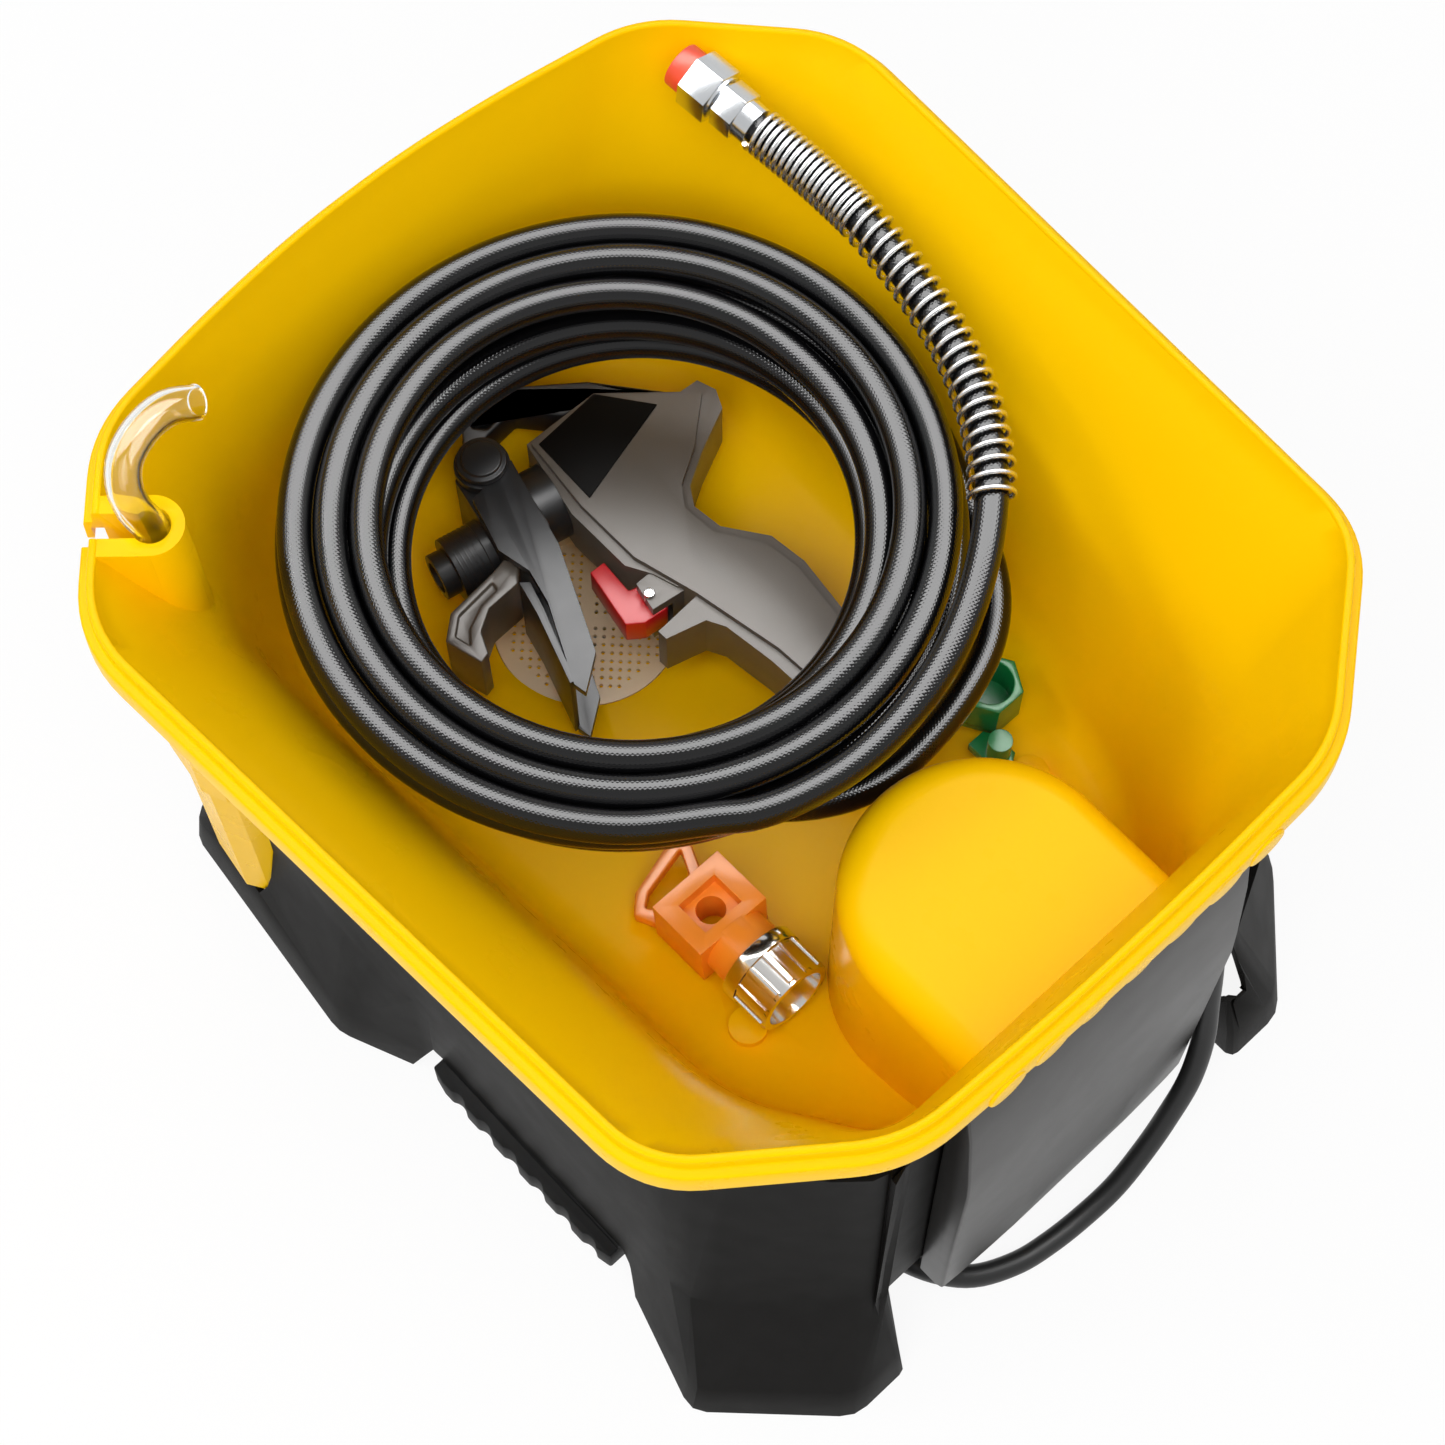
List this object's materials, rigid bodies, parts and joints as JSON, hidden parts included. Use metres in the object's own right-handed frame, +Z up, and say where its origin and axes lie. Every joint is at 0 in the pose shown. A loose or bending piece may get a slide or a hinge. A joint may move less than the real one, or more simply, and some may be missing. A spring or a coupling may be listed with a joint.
{
  "type": "airless paint sprayer",
  "caption": "Electric airless paint sprayer with an open hopper tray on a moulded base, a piston pump, and the stowed hose, gun and cleaning adapter.",
  "frame": {"origin": "centre of the box around the machine without its power cord, on the floor", "axes": "+Z up; +X towards the rear, where the motor dome and the power cord are; -X is the front with the controls; +Y to the right seen from behind"},
  "size_m": [0.397, 0.3422, 0.3045],
  "materials": {
    "yellow_gloss": "glossy yellow polypropylene",
    "ivory_nylon": "off-white nylon",
    "clear_vinyl": "clear flexible vinyl",
    "black_matt": "fine-textured matt black",
    "black_soft": "matt black with ribs",
    "rubber": "matt black rubber",
    "zinc": "bright zinc plate",
    "steel": "bright steel",
    "cast_alloy": "die-cast",
    "nylon_gear": "moulded nylon",
    "brass": "turned",
    "red": "glossy red",
    "black_gloss": "satin black",
    "grey": "plain",
    "nickel": "bright nickel",
    "hose_black": "glossy black polyurethane",
    "cap_red": "orange-red",
    "gun_grey": "dark grey satin",
    "orange": "glossy orange",
    "green": "glossy green"
  },
  "bodies": {
    "machine": {"hopper": "yellow_gloss", "strainer": "ivory_nylon", "return_tube": "clear_vinyl", "base_shell": "black_matt", "rear_panel": "black_matt", "side_grips": "black_soft", "bottom_plate": "black_matt", "rubber_feet": "rubber", "housing_screws": "zinc", "motor_can": "zinc", "gearbox": "cast_alloy", "pump_body": "cast_alloy", "packing_nut": "brass", "inlet_valve": "steel", "outlet_pipe": "zinc", "outlet_fitting": "zinc", "control_valves": "cast_alloy", "switch_frame": "black_matt", "cord_strain_relief": "rubber", "power_cord": "rubber", "cord_coil": "rubber", "cord_tie": "grey", "cord_lead": "rubber", "plug_body": "rubber", "plug_blades": "nickel", "spray_hose_coil": "hose_black", "hose_lower_loop": "hose_black", "spray_hose_tail": "hose_black", "spring_guard": "steel", "hose_end_fitting": "zinc", "hose_start_fitting": "zinc", "gun_body": "gun_grey", "gun_head": "black_gloss", "gun_label_panel": "black_gloss", "gun_hook": "black_gloss", "trigger_pivot": "black_gloss", "trigger_guard": "gun_grey", "lock_pin": "red", "gun_inlet": "zinc", "adapter_body": "orange", "adapter_ring": "orange", "tip_holder": "green", "tip_strip": "green", "spray_tip": "green"},
    "rotor": {"motor_rotor": "steel"},
    "gear": {"drive_gear": "nylon_gear"},
    "piston": {"piston_yoke": "steel"},
    "pressure_dial": {"pressure_knob": "black_matt"},
    "prime_dial": {"prime_knob": "yellow_gloss"},
    "button": {"push_prime_button": "red"},
    "switch": {"power_switch": "black_gloss"},
    "gun_trigger": {"trigger": "black_gloss"},
    "gun_lock": {"trigger_lock": "red"},
    "end_nut": {"hose_end_nut": "zinc", "hose_end_cap": "cap_red"},
    "start_nut": {"hose_start_nut": "zinc"},
    "cleaning_nut": {"adapter_nut": "nickel"}
  },
  "joints": [
    {"name": "rotor_spin", "type": "hinge", "parent": "machine", "child": "rotor", "pos_m": [0.1115, 0, 0.15], "axis": [0, 0, 1], "continuous": true},
    {"name": "gear_spin", "type": "hinge", "parent": "machine", "child": "gear", "pos_m": [0.0675, 0, 0.09], "axis": [0, 0, 1], "continuous": true},
    {"name": "piston_stroke", "type": "slide", "parent": "machine", "child": "piston", "axis": [1, 0, 0], "range_m": [-0.007, 0.007]},
    {"name": "pressure_knob_turn", "type": "hinge", "parent": "machine", "child": "pressure_dial", "pos_m": [-0.16, 0, 0.078], "axis": [1, 0, 0], "range_deg": [0, 270]},
    {"name": "prime_knob_turn", "type": "hinge", "parent": "machine", "child": "prime_dial", "pos_m": [-0.16, 0.048, 0.078], "axis": [1, 0, 0], "range_deg": [0, 90]},
    {"name": "push_prime", "type": "slide", "parent": "machine", "child": "button", "axis": [1, 0, 0], "range_m": [0, 0.004], "stiffness_N_per_m": 900},
    {"name": "switch_rock", "type": "hinge", "parent": "machine", "child": "switch", "pos_m": [-0.164, 0.083, 0.079], "axis": [0, 1, 0], "range_deg": [-8, 8]},
    {"name": "trigger_squeeze", "type": "hinge", "parent": "machine", "child": "gun_trigger", "pos_m": [-0.13099, -0.00275, 0.1441], "axis": [0, 0, 1], "range_deg": [0, 15], "stiffness_Nm_per_rad": 0.6},
    {"name": "lock_turn", "type": "hinge", "parent": "machine", "child": "gun_lock", "pos_m": [-0.05378, 0.00953, 0.1441], "axis": [0, 0, 1], "range_deg": [0, 20]},
    {"name": "hose_end_swivel", "type": "hinge", "parent": "machine", "child": "end_nut", "pos_m": [-0.1175, 0.1211, 0.27], "axis": [-0.9919, -0.0833, 0.0959], "continuous": true},
    {"name": "hose_start_swivel", "type": "hinge", "parent": "machine", "child": "start_nut", "pos_m": [0.0432, -0.0294, 0.1934], "axis": [-0.6984, -0.7157, 0], "continuous": true},
    {"name": "adapter_nut_turn", "type": "hinge", "parent": "machine", "child": "cleaning_nut", "pos_m": [0.05, -0.054, 0.139], "axis": [0.9976, 0, 0.0698], "continuous": true}
  ],
  "couplings": [
    {"joint": "gear_spin", "follows": "rotor_spin", "ratio": -0.29412}
  ]
}
